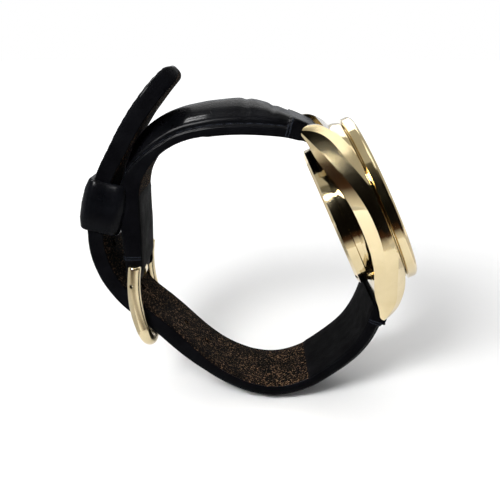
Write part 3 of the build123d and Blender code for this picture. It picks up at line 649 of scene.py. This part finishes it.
@dataclass
class PaddedLeather:
    """One half of the strap: the outer leather, its filler's swell, edges, lining and stitches.

    Lengths are in mm, and insets are measured from the strap's edge.

    Args:
        name: Start of the names of its pieces and of the CAD nodes that they replace.
        line: Its middle line.
        materials: Finishes by name.
        pad: Function from distance to how far the filler swells the leather, 0 to 1.
        tip: Distance at which the end starts to narrow, or None for a square end.
        flaps: (start, stop) distances between which the outer leather is turned back inside.
        dome: How far the filler raises the middle of the width over the shoulders.
        folds: Distances of the creases across the outer face.
    """

    name: str
    line: StrapLine
    materials: dict[str, Material]
    pad: Callable[[float], float]
    tip: float | None
    flaps: Sequence[Pair]
    dome: float = 0.0
    folds: Sequence[float] = ()
    wide: tuple[Pair, Pair] = ((4.0, 9.0), (-18.0, 8.0))  # (X, half width) where it tapers from and to
    edge_thickness: float = 1.75
    lining_thickness: float = 0.55
    border: float = 1.3  # inset of the foot of the padding
    shoulder: float = 2.7  # width over which the padding rises
    shoulder_power: float = 2.4  # 2 would be an elliptic shoulder, and more is fuller
    border_rise: float = 0.12  # share of the padding's rise that the border takes
    dome_gap: float = 0.6  # from the foot of the padding to the start of the dome
    dome_rises: Pair = (3.0, 15.0)  # distances between which the dome swells
    fold_depth: float = 0.28
    fold_width: float = 0.6
    stitch_inset: float = 0.85
    groove_depth: float = 0.12
    groove_width: float = 0.26
    stitch_pitch: float = 1.9
    stitch_length: float = 1.45
    stitch_arch: float = 0.02
    thread_radius: float = 0.16
    rounding: float = 0.55  # radius of the outer face's edge
    lip: float = 0.14  # radius of the inner face's edge
    lip_wide: float = 0.45  # width of the lip that covers the lining's edge
    ripple: float = 0.05  # height of the slight waviness along the leather
    tip_power: float = 2.4  # 2 would be an elliptic tip, and more is squarer
    tip_round: float = 1.8  # length over which the tip thins
    full_inset: float = 7.6  # half width that the section's insets need

    def half_width(self, station: Station) -> float:
        """Half the width at a station, rounded off at the tip."""
        (start, wide), (stop, narrow) = self.wide
        full = wide + (narrow - wide) * unit((start - (station.at.x / MM - GROUND.x)) / (start - stop))
        if self.tip is None or station.distance <= self.tip:
            return full
        share = min((station.distance - self.tip) / (self.line.length - self.tip), 1.0)
        return full * math.sqrt(max(1 - share**self.tip_power, 0.0)) + 0.02

    def blunt(self, station: Station) -> float:
        """How much of the thickness is left at a station near the rounded tip, 0 to 1."""
        if self.tip is None:
            return 1.0
        share = unit((station.distance - self.line.length) / self.tip_round + 1)
        return math.sqrt(max(1 - share * share, 0.03))

    def squeeze(self, width: float) -> float:
        """How much the insets shrink where the half width is less than they need, 0 to 1."""
        return min(width / self.full_inset, 1.0)

    def reach(self, station: Station) -> Pair:
        """Heights of the border and of the crown above the middle of the leather."""
        half = station.thickness / 2
        return half - self.pad(station.distance) * (station.thickness - self.edge_thickness), half

    def top(self, station: Station, inset: float, width: float) -> float:
        """Height of the outer face at an inset, where the half width is the one given."""
        border, crown = self.reach(station)
        foot, power = unit((inset - self.border) / self.shoulder), self.shoulder_power
        swell = (self.border_rise * min(inset / self.border, 1.0)
                 + (1 - self.border_rise) * (1 - (1 - foot) ** power) ** (1 / power))
        start = self.border + self.dome_gap
        share = unit((inset - start) / (max(width, self.full_inset) - start))
        rise = self.dome * ease(station.distance, *self.dome_rises)
        slack = 0.28 * rise + 0.16  # how far the shoulders stay under the crown
        dome = ((rise + slack) * math.sin(math.pi / 2 * share) - slack) * self.pad(station.distance)
        for fold in self.folds:
            dome -= self.fold_depth * math.exp(-(((station.distance - fold) / self.fold_width) ** 2))
        groove = math.exp(-(((inset - self.stitch_inset) / self.groove_width) ** 2))
        return border + (crown - border + dome) * swell - self.groove_depth * self.squeeze(width) * groove

    def leather_loop(self, station: Station) -> Loop:
        """The outer leather's section at a station, from the edge on the crown's side round."""
        width, low = self.half_width(station), -station.thickness / 2
        shrink, border = self.squeeze(width), self.reach(station)[0]
        floor = self.lining_thickness + low
        rounding = min(self.rounding, (border - floor) * 0.45) * shrink
        side, lip = border - rounding, self.lip
        half = [(width - self.lip_wide * shrink, floor),
                (width - (self.lip_wide - 0.05) * shrink, low + 0.10),
                (width - lip * shrink, low), (width, low + lip)]
        half += [(width, side - share * (side - low - lip)) for share in (0.66, 0.33, 0.0)]
        for turn in map(math.radians, (22, 45, 68)):
            half.append((width - rounding * (1 - math.cos(turn)), border - rounding * (1 - math.sin(turn))))
        insets = [rounding, 0.60, 0.72, self.stitch_inset, 0.98, 1.12]
        insets += [self.border + step for step in DOME_STEPS]
        half += [(width - inset * shrink, self.top(station, inset, width)) for inset in insets]
        return station.ring(half, self.blunt(station), self.wave(station))

    def wave(self, station: Station) -> float:
        """A slight waviness along the leather."""
        return self.ripple * noise.noise(Vector((station.distance * 0.35, len(self.name), 0.5)))

    def lining_loop(self, station: Station, lift: float = 0.0, inset: float = 0.42) -> Loop:
        """The section of the lining, or of a flap that stands a lift proud of it."""
        width = max(self.half_width(station) - inset, 0.0)
        middle, bend = station.thickness / 2, 0.22
        high, low = self.lining_thickness - middle - 0.01, -middle - lift
        bend_in = min(bend, width * 0.3)
        half = [(width, high), (width, low + bend), (width - bend_in * 0.3, low + bend * 0.3),
                (width - bend_in, low), (width * 0.66, low - 0.02), (width * 0.33, low - 0.03)]
        return station.ring(half, self.blunt(station))

    def stations(self, start: float, stop: float, step: float = 0.45) -> list[Station]:
        """Evenly spaced stations between two distances, closer together at a rounded tip."""
        straight = stop if self.tip is None else max(min(stop, self.tip), start)
        count, turns = max(int((straight - start) / step), 4), 24
        distances = [start + (straight - start) * index / count for index in range(count + 1)]
        if straight < stop:
            distances += [straight + (stop - straight) * math.sin(math.pi / 2 * index / turns)
                          for index in range(1, turns + 1)]
        return [self.line.station(distance) for distance in distances]

    def round_end(self, loop: Loop, station: Station, direction: int) -> list[Loop]:
        """The loops that close a fold round its spring bar, from the last section outward."""
        ends = []
        for share in (0.35, 0.65, 0.85, 0.96):
            shrink = math.sqrt(1 - share * share)
            move = station.along * (direction * share * station.thickness / 2 * MM)
            ends.append([station.at + (point - station.at).dot(ACROSS) * ACROSS
                         + (point - station.at).dot(station.outward) * station.outward * shrink + move
                         for point in loop])
        return ends

    def build_leather(self) -> Piece:
        """Build the outer leather, with its folds closed round the bars."""
        places = self.stations(0.0, self.line.length)
        loops = [self.leather_loop(place) for place in places]
        count, cut = len(loops[0]), 6
        slots = [1 if index < cut or index >= count - 1 - cut else 0 for index in range(count)]
        loops = self.round_end(loops[0], places[0], -1)[::-1] + loops
        if self.tip is None:
            loops += self.round_end(loops[-1], places[-1], 1)
        piece = case_piece(self.name + "_leather", skin(loops, slots=slots), Slot.LEATHER,
                           self.materials["glazed_leather"], self.materials["edge_paint"])
        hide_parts(self.name + "_upper")
        return piece

    def build_lining(self) -> Piece:
        """Build the napped lining, which stops short of the folds and of the tip."""
        fold, rim = 1.8, 0.3
        places = self.stations(fold, self.line.length - (fold if self.tip is None else rim))
        piece = case_piece(self.name + "_napped_lining", skin([self.lining_loop(at) for at in places]),
                           Slot.LINING, self.materials["napped_lining"])
        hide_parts(self.name + "_lining")
        return piece

    def build_flap(self, number: int, start: float, stop: float) -> Piece:
        """Build the outer leather's turned-back flap, skived thin at its end."""
        proud, inset, loops = 0.22, 0.10, []
        for place in self.stations(start, stop):
            room = min(place.distance - start, stop - place.distance)
            loops.append(self.lining_loop(place, proud * ease(room, -0.2, 1.2) + 0.01, inset))
        name = f"{self.name}_turned_back_flap_{number}"
        return case_piece(name, skin(loops), Slot.LEATHER, self.materials["flap_leather"])

    def stitch_path(self, side: int) -> list[tuple[Vector, Vector]]:
        """Points and outward directions of the stitching groove along one edge."""
        start, end = 5.6, 6.0 if self.tip is None else 1.3
        path = []
        for place in self.stations(start, self.line.length - end, 0.25):
            width = self.half_width(place)
            inset = self.stitch_inset * self.squeeze(width)
            height = self.top(place, self.stitch_inset, width) * self.blunt(place) + self.wave(place)
            path.append((place.point(side * (width - inset), height), place.outward))
        return path

    def stitches_along(self, path: Sequence[tuple[Vector, Vector]]) -> list[Mesh]:
        """Beads of thread at an even pitch along a path of points and outward directions."""
        points = [point for point, _ in path]
        steps = [(after - before).length for before, after in zip(points, points[1:])]
        travelled = np.concatenate(([0.0], np.cumsum(steps)))
        count = int(travelled[-1] / (self.stitch_pitch * MM))
        gap = travelled[-1] / count

        def at(distance: float) -> tuple[Vector, Vector]:
            """The point and outward direction at a distance along the path."""
            index = int(np.clip(np.searchsorted(travelled, distance) - 1, 0, len(points) - 2))
            share = (distance - travelled[index]) / max(travelled[index + 1] - travelled[index], 1e-9)
            return points[index].lerp(points[index + 1], share), path[index][1]

        beads = []
        half = self.stitch_length * MM / 2
        for number in range(count):
            middle = (number + 0.5) * gap
            (start, lift), (end, _) = at(middle - half), at(middle + half)
            beads.append(bead(start, end, self.thread_radius * MM, lift, self.stitch_arch * MM))
        return beads

    def thread_piece(self, kind: str, beads: Sequence[Mesh]) -> Piece:
        """Join beads of thread into one piece."""
        return case_piece(f"{self.name}_{kind}", joined(beads), Slot.LEATHER, self.materials["waxed_thread"])

    def build_stitches(self) -> Piece:
        """Sew both edges, and round the tip where there is one."""
        near, far = self.stitch_path(-1), self.stitch_path(1)
        paths = [near, far] if self.tip is None else [near + far[::-1]]
        meshes = [stitch for path in paths for stitch in self.stitches_along(path)]
        return self.thread_piece("stitching", meshes)

    def build_bar_tacks(self) -> Piece:
        """Wrap the thread twice round both edges where each fold is closed, as one piece."""
        distances = [4.6, 5.1]
        if self.tip is None:
            distances += [self.line.length - 5.2, self.line.length - 4.7]
        over = ((-1.7, 0.04), (-0.3, 0.05), (0.07, -0.45))  # beyond the edge and above the border
        under = ((0.07, 0.55), (-0.25, -0.05), (-1.7, -0.05))  # beyond the edge and above the inner face
        meshes = []
        for place in map(self.line.station, distances):
            width, border, low = self.half_width(place), self.reach(place)[0], -place.thickness / 2
            wrap = [(width + across, border + height) for across, height in over]
            wrap += [(width + across, low + height) for across, height in under]
            for side in (-1, 1):
                points = [place.point(side * across, height) for across, height in wrap]
                for start, end in zip(points, points[1:]):
                    overlap = (end - start).normalized() * 0.08 * MM
                    lift = (place.at - start).cross(place.along).cross(end - start).normalized()
                    meshes.append(bead(start - overlap, end + overlap, self.thread_radius * 1.1 * MM,
                                       lift, 0.0))
        return self.thread_piece("bar_tacks", meshes)


@dataclass
class Keeper:
    """The leather loop that holds the strap's tail, drawn round the strap.

    Args:
        material: Its finish.
        at: Its middle in the side view, mm.
        tilt: How far its axis leans from upright towards the head, degrees.
        wide: Its length along the strap, mm.
        out: Distance from its middle to its outer face, mm.
        inward: Distance from its middle to its inner face, mm.
        half_height: Half its size across the strap, mm.
        thickness: Thickness of its leather, mm.
        corner: Radius of its corners, mm.
        bow: How far its two ends curve in towards the strap, mm.
        hollow: How far the middles of its straight sides sink in, mm.
    """

    material: Material
    at: Pair = (-29.9, 42.6)
    tilt: float = 14.0
    wide: float = 10.4
    out: float = 4.45
    inward: float = 4.6
    half_height: float = 9.3
    thickness: float = 0.95
    corner: float = 2.3
    bow: float = 0.75
    hollow: float = 0.10

    def corner_arc(self, sign_x: int, sign_y: int, first: int) -> list[tuple[Pair, Pair]]:
        """Points and outward directions round one corner, from a first angle in degrees."""
        x = (self.inward - self.out) / 2 + sign_x * ((self.inward + self.out) / 2 - self.corner)
        y = sign_y * (self.half_height - self.corner)
        arc = []
        for step in range(9):
            turn = math.radians(first + step * 90 / 8)
            out_x, out_y = math.cos(turn), math.sin(turn)
            arc.append(((x + out_x * self.corner, y + out_y * self.corner), (out_x, out_y)))
        return arc

    def path(self) -> list[tuple[Pair, Pair]]:
        """Points and outward directions of the rounded rectangle in the keeper's own plane."""
        corners = [(1, 1, 0), (-1, 1, 90), (-1, -1, 180), (1, -1, 270)]
        arcs = [self.corner_arc(*corner) for corner in corners]
        places = []
        for arc, after in zip(arcs, arcs[1:] + arcs[:1]):
            (x, y), (out_x, out_y) = arc[-1]
            (end_x, end_y), _ = after[0]
            places += arc
            for share in (0.12, 0.25, 0.4, 0.5, 0.6, 0.75, 0.88):
                swell = -self.hollow * math.sin(math.pi * share)
                places.append(((x + (end_x - x) * share + out_x * swell,
                                y + (end_y - y) * share + out_y * swell), (out_x, out_y)))
        return places

    def section(self) -> list[Pair]:
        """The band's (along, depth) section, with softly rounded edges, mm."""
        half, depth, edge = self.wide / 2, self.thickness, self.thickness * 0.42
        right = [(half * 0.6, 0), (half - edge, 0), (half - edge * 0.45, -edge * 0.06),
                 (half - edge * 0.08, -edge * 0.35), (half, -depth / 2),
                 (half - edge * 0.08, -depth + edge * 0.3), (half - edge, -depth)]
        left = [(-along, sunk) for along, sunk in reversed(right)]
        return left[2:] + [(0, 0)] + right + [(0, -depth)] + left[:2]

    def build(self) -> Piece:
        """Build the loop in place of its CAD node."""
        turn = math.radians(self.tilt)
        upward = Vector((math.sin(turn), 0, math.cos(turn)))
        sideways = Vector((math.cos(turn), 0, -math.sin(turn)))
        origin, half = side_view(*self.at), self.wide / 2
        loops = []
        for (x, y), (out_x, out_y) in self.path():
            loop = []
            for along, depth in self.section():
                pull = depth - self.bow * abs(along / half) ** 3
                loop.append(origin + (sideways * (x + out_x * pull) + ACROSS * (y + out_y * pull)
                                      + upward * along) * MM)
            loops.append(loop)
        piece = case_piece("keeper_loop", skin(loops, closed=True), Slot.LEATHER, self.material, crease=50.0)
        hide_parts("keeper")
        return piece


@dataclass
class Strap:
    """Both halves of the strap with the keeper, holes and stitching. Lengths are in mm.

    Args:
        materials: Finishes by name.
        bar_inset: Distance from the middle of the head to a lug's spring bar.
        bar_height: Height of the bars above the line between the lug tips.
        hole_radius: Radius of the buckle holes.
        hole_pitch: Distance from one hole to the next.
        hole_in_use: Distance along the long half to the hole that the tang goes through.
        free_holes: Places of the other holes, counted from that one.
    """

    materials: dict[str, Material]
    bar_inset: float = 18.7
    bar_height: float = 0.8
    hole_radius: float = 0.8
    hole_pitch: float = 6.3
    hole_in_use: float = 63.5
    free_holes: Sequence[int] = (-2, -1, 1, 2, 3, 4)

    def lug_bar(self, direction: int) -> Pair:
        """A lug's spring bar in the side view, at 12 o'clock (1) or 6 o'clock (-1)."""
        place = LUG_LINE + TWELVE * (direction * self.bar_inset) + NORMAL * self.bar_height - GROUND
        return place.x, place.z

    def short_half(self) -> PaddedLeather:
        """The 12 o'clock half, from the lug to the buckle."""
        route = [(*self.lug_bar(1), 3.3), (7.6, 58.3, 3.7), (3.5, 59.2, 4.4), (-3.3, 59.5, 4.6),
                 (-10, 58.8, 4.4), (-16.3, 56.9, 4.3), (-21.0, 53.3, 4.2), (-24.0, 48.4, 4.1),
                 (-24.9, 43, 4.1), (-24.7, 37, 3.8), (-24.6, 32, 3.4), (-24.6, 27.0, 3.2)]
        line = StrapLine(route, 1)
        return PaddedLeather(
            "strap_12", line, self.materials,
            pad=lambda distance: ease(distance, 4.4, 5.4) * (1 - ease(distance, 30, 44)), tip=None,
            flaps=[(1.6, 22), (line.length - 18, line.length - 1.6)], dome=1.5, folds=(8.2, 13.2))

    def long_half(self) -> PaddedLeather:
        """The 6 o'clock half, from the lug to the tail's tip."""
        route = [(*self.lug_bar(-1), 3.4), (25.1, 17.0, 3.5), (21.9, 11.5, 3.6), (17.4, 7.4, 3.5),
                 (12.1, 3.8, 3.4), (5.4, 1.75, 3.4), (-2.3, 3.0, 3.4), (-7.7, 5.8, 3.4),
                 (-12.9, 10.1, 3.3), (-17.9, 15.2, 3.2), (-22.4, 19.2, 3.1), (-26.9, 23.6, 3.2),
                 (-30.0, 28.3, 3.2), (-31.6, 33.4, 3.2), (-31.8, 38, 3.2), (-31.1, 43.2, 3.2),
                 (-29.4, 48.6, 3.3), (-27.0, 53.0, 3.4), (-24.6, 57.2, 3.5), (-21.5, 61.8, 3.5),
                 (-18.7, 65.3, 3.5), (-15.2, 68.9, 3.3)]
        line = StrapLine(route, -1)
        return PaddedLeather(
            "strap_6", line, self.materials,
            pad=lambda distance: 0.75 * ease(distance, 4.4, 5.6) * (1 - ease(distance, 44, 60)),
            tip=line.length - 9.0, flaps=[(1.6, 24.5)])

    def punch(self, piece: Piece, half: PaddedLeather) -> None:
        """Punch the free buckle holes through a piece of the long half."""
        reach = 4  # beyond both faces of the leather
        cutters = []
        for step in self.free_holes:
            place = half.line.station(self.hole_in_use + self.hole_pitch * step)
            cutters.append(skin([[place.point(self.hole_radius * math.sin(turn), height)
                                  + place.along * (self.hole_radius * math.cos(turn) * MM)
                                  for turn in circle(24)] for height in (-reach, reach)]))
        cutter = linked("cutter", joined(cutters))
        cut = piece.modifiers.new("punch", "BOOLEAN")
        cut.object = cutter
        cut.operation = "DIFFERENCE"
        cut.solver = "EXACT"
        bpy.context.view_layer.update()
        scene_state = bpy.context.evaluated_depsgraph_get()
        result = bpy.data.meshes.new_from_object(piece.evaluated_get(scene_state))
        piece.modifiers.remove(cut)
        piece.data = result
        bpy.data.objects.remove(cutter)

    def build(self) -> list[Piece]:
        """Build every piece of the strap."""
        pieces = []
        short, long = self.short_half(), self.long_half()
        for half in (short, long):
            layers = [half.build_leather(), half.build_lining()]
            if half is long:
                for layer in layers:
                    self.punch(layer, half)
            pieces += layers
            pieces += [half.build_flap(number, *flap) for number, flap in enumerate(half.flaps, 1)]
            pieces.append(half.build_stitches())
        pieces += [short.build_bar_tacks(), long.build_bar_tacks()]
        pieces.append(Keeper(self.materials["keeper_leather"]).build())
        return pieces


# ================= head =================


@dataclass
class Dial:
    """The printing on the dial: a minute track of fine strokes. Lengths are in mm.

    Args:
        ink: Finish of the printing.
        face_height: Height of the dial's face above the line between the lug tips.
        radius: Outer radius of the track.
        stroke: Width of a stroke.
        length: Length of a stroke.
        bottom: Height of the ink's underside over the dial's face.
        top: Height of its top over the dial's face.
    """

    ink: Material
    face_height: float = 5.3
    radius: float = 13.2
    stroke: float = 0.10
    length: float = 0.7
    bottom: float = 0.002
    top: float = 0.02

    def build(self) -> Piece:
        """Build the minute track, which leaves out every fifth minute for the applied markers."""
        origin = (LUG_LINE + NORMAL * self.face_height) * MM
        half = self.stroke / 2
        corners = ((-half, self.bottom), (half, self.bottom), (half, self.top), (-half, self.top))
        meshes = []
        for minute in (minute for minute in range(60) if minute % 5):
            turn = math.radians(minute * 6)
            radial = ACROSS * math.sin(turn) + TWELVE * math.cos(turn)
            sideways = ACROSS * math.cos(turn) - TWELVE * math.sin(turn)
            meshes.append(skin([[origin + (radial * reach + sideways * side + NORMAL * height) * MM
                                 for side, height in corners]
                                for reach in (self.radius - self.length, self.radius)]))
        return case_piece("minute_track", joined(meshes), Slot.DIAL, self.ink)


def dress_cad_nodes() -> int:
    """Give every CAD node the finish of its material slot in the record.

    Returns:
        How many nodes were dressed.
    """
    made = {slot: finish.material(slot + "_finish") for slot, finish in CAD_FINISHES.items()}
    slot_of = {entry["node"]: entry["material_slot"] for entry in frame["record"]["subparts"]}
    for name, piece in frame["nodes"].items():
        piece.data.materials.clear()
        piece.data.materials.append(made[slot_of[name]])
    return len(frame["nodes"])


# ================= studio =================

DARK, SHADE, BROWN = (0.004, 0.0035, 0.003), (0.14, 0.13, 0.10), (0.055, 0.024, 0.011)
CREAM, KHAKI, PALE, WHITE = (0.95, 0.92, 0.86), (0.50, 0.49, 0.45), (0.74,) * 3, (0.72, 0.74, 0.78)


@dataclass(frozen=True)
class Lamp:
    """A soft rectangular lamp that faces the watch.

    Args:
        name: Its name.
        at: Its place, metres.
        size: Its width and height, metres.
        power: Its power, watts.
        shine: How strongly reflections show it, 0 to 1.
        strap_only: Whether it lights the strap and nothing else.
    """

    name: str
    at: Point3
    size: Pair
    power: float
    shine: float
    strap_only: bool = False

    def build(self, strap: Sequence[Piece], target: Vector) -> None:
        """Hang the lamp so that it faces the target."""
        data = bpy.data.lights.new(self.name, "AREA")
        data.shape = "RECTANGLE"
        data.size, data.size_y = self.size
        data.energy = self.power
        data.specular_factor = self.shine
        lamp = linked(self.name, data)
        if self.strap_only:
            lamp.light_linking.receiver_collection = bpy.data.collections.new(self.name + "_lights")
            for piece in strap:
                lamp.light_linking.receiver_collection.objects.link(piece)
        at = Vector(self.at)
        facing = (target - at).to_track_quat("-Z", "Y").to_matrix().to_4x4()
        lamp.matrix_world = Matrix.Translation(at) @ facing


def standing(azimuth: float, span: float, low: float, high: float, radius: float) -> Strip:
    """A curved card round the origin, as its (lower, upper) pairs of points.

    Args:
        azimuth: Direction of its middle: 0 towards the front, 90 towards the buckle's side.
        span: Its width as an angle, degrees.
        low: Elevation of its lower edge, degrees.
        high: Elevation of its upper edge, degrees.
        radius: Its distance, metres.
    """
    steps = 16
    bottom, top = (math.tan(math.radians(angle)) * radius for angle in (low, high))
    strip = []
    for step in range(steps + 1):
        turn = math.radians(azimuth + span * (step / steps - 0.5))
        x, y = -math.sin(turn) * radius, -math.cos(turn) * radius
        strip.append(((x, y, bottom), (x, y, top)))
    return strip


def lying(first: float, last: float, left: float, right: float, height: float) -> Strip:
    """A level sheet between two places on Y and two on X, as its (first, last) pairs of points."""
    return [((x, first, height), (x, last, height)) for x in (left, right)]


def sheet(name: str, strip: Strip, material: Material) -> Piece:
    """Link a strip of faces as a piece of the surroundings."""
    mesh = bpy.data.meshes.new(name)
    mesh.from_pydata([point for pair in strip for point in pair], [],
                     [(base, base + 2, base + 3, base + 1) for base in range(0, len(strip) * 2 - 2, 2)])
    mesh.materials.append(material)
    piece = linked(name, mesh)
    return piece


def show_in_reflections(name: str, strip: Strip, axis: str, shades: Shades) -> None:
    """Link a glowing card that only reflections show.

    Args:
        name: Its name.
        strip: Its pairs of points.
        axis: The axis along which its shades change.
        shades: (share of the way, colour) stops from the first point of a pair to the second.
    """
    graph = Graph(bpy.data.materials.new(name + "_cloth"))
    along = graph.add("SeparateXYZ", Vector=graph.place()).outputs[axis]
    start, stop = (point["XYZ".index(axis)] for point in strip[0])
    graph.set(Base_Color=(0, 0, 0, 1), Roughness=1.0, Specular_IOR_Level=0.0, Emission_Strength=1.0,
              Emission_Color=graph.ramp(graph.range(along, 0.0, 1.0, start, stop), shades))
    card = sheet(name, strip, graph.owner)
    for ray in ("camera", "diffuse", "shadow", "transmission"):
        setattr(card, "visible_" + ray, False)


LAMPS = (
    Lamp("key_lamp", (-0.105, -0.16, 0.125), (0.075, 0.075), power=0.72, shine=0.02),
    Lamp("back_lamp", (0.0, 0.28, 0.24), (0.26, 0.26), power=0.45, shine=0.05),
    Lamp("top_lamp", (0.20, -0.10, 0.75), (0.5, 0.5), power=1.0, shine=0.02),
    Lamp("strip_lamp", (-0.40, -0.03, 0.60), (0.05, 0.36), power=7.0, shine=1.0, strap_only=True),
)


@dataclass
class Studio:
    """The floor, world, lamps, cards and camera around the watch.

    Args:
        floor_height: Height of the floor, metres.
        strap: The strap's pieces, which have a lamp of their own.
        target: The point that the lamps face.
        camera_at: The camera's place.
        camera_pitch: How far the camera looks down, degrees.
        camera_yaw: How far it turns to the left, degrees.
        lens: Its focal length, mm.
        world_light: Strength of the world's light on surfaces that aren't mirrors.
        glow: The floor's (distance from the origin in metres, brightness of its own) stops.
        floor_size: Distance from the floor's middle to its edges, metres.
    """

    floor_height: float
    strap: Sequence[Piece]
    target: Vector = field(default_factory=lambda: Vector((-0.016, 0, 0)))
    camera_at: Vector = field(default_factory=lambda: Vector((-16.04, -133.0, 34.79)) * MM)
    camera_pitch: float = 17.5
    camera_yaw: float = 0.35
    lens: float = 46.8
    world_light: float = 0.38
    glow: Sequence[Pair] = ((0.0, 0.0), (0.04, 0.01), (0.09, 0.13), (0.16, 0.34), (0.30, 0.60),
                             (0.6, 0.85))
    floor_size: float = 3.0

    def build_world(self) -> None:
        """A white surround that lights the watch softly and evenly."""
        graph = Graph(bpy.data.worlds.new("studio"), "Background")
        graph.set(Color=(1, 1, 1, 1), Strength=graph.range(graph.visible_rays(), self.world_light, 1.0))
        bpy.context.scene.world = graph.owner

    def build_floor(self) -> None:
        """A plain pale floor that keeps the watch's shadow."""
        graph = Graph(bpy.data.materials.new("floor_paper"))
        away = graph.add("VectorMath", {"operation": "LENGTH"}, Vector=graph.place()).outputs["Value"]
        glow = graph.ramp(away, [(place, (level,) * 3) for place, level in self.glow])
        graph.set(Base_Color=(0.80, 0.80, 0.80, 1), Roughness=0.9, Specular_IOR_Level=0.0,
                  Emission_Color=(1, 1, 1, 1),
                  Emission_Strength=graph.combine("MULTIPLY", graph.visible_rays(), glow))
        half = self.floor_size
        sheet("floor", lying(-half, half, -half, half, self.floor_height), graph.owner)

    def build_cards(self) -> None:
        """Stand and lay the cards that the metal mirrors."""
        low, raised = self.floor_height + 0.0004, self.floor_height + 0.0006  # just clear of the floor
        for name, strip, axis, shades in (
                ("front_card", standing(0, 150, -6.6, 56, 0.34), "Z", [(0, DARK), (0.55, DARK), (1, SHADE)]),
                ("warm_card", standing(-78, 26, -6.4, 22, 0.36), "Z", [(0, BROWN), (1, BROWN)]),
                ("back_card", standing(180, 170, -2.0, 26, 1.6), "Z", [(0, WHITE), (1, WHITE)]),
                ("front_mat", lying(-0.06, -0.35, -0.3, 0.3, raised), "Y",
                 [(0, CREAM), (0.12, BROWN), (0.3, DARK), (1, DARK)]),
                ("side_mat", lying(-0.30, 0.30, 0.07, 0.34, low), "Y", [(0, PALE), (1, PALE)]),
                ("left_mat", lying(-0.06, 0.30, -0.34, -0.055, low), "Y", [(0, PALE), (1, PALE)]),
                ("ceiling", lying(-2.0, 2.0, -2.0, 2.0, 0.9), "Y", [(0, KHAKI), (1, KHAKI)])):
            show_in_reflections(name, strip, axis, shades)

    def build_camera(self) -> None:
        """Set the camera in front of the watch and a little above it."""
        data = bpy.data.cameras.new("camera")
        data.lens = self.lens
        data.sensor_width = 36.0
        data.clip_start = 0.005
        camera = linked("camera", data)
        camera.location = self.camera_at
        camera.rotation_euler = (math.radians(90 - self.camera_pitch), 0, math.radians(self.camera_yaw))
        bpy.context.scene.camera = camera

    def build(self) -> None:
        """Set up the whole studio."""
        self.build_world()
        self.build_floor()
        for lamp in LAMPS:
            lamp.build(self.strap, self.target)
        self.build_cards()
        self.build_camera()


def main() -> None:
    """Dress the CAD nodes, build the soft pieces and set up the studio."""
    logging.basicConfig(level=logging.INFO, format="%(name)s: %(message)s")
    LOG.info("dressed %d CAD nodes", dress_cad_nodes())
    strap = Strap({name: finish.material(name) for name, finish in STRAP_FINISHES.items()}).build()
    for piece in strap + [Dial(INK.material("dial_ink")).build()]:
        LOG.info("built %s", piece.name)
    Studio(CAD_BOX[0].z, strap).build()
    bpy.context.scene.view_settings.view_transform = "Standard"


if __name__ == "__main__":
    main()
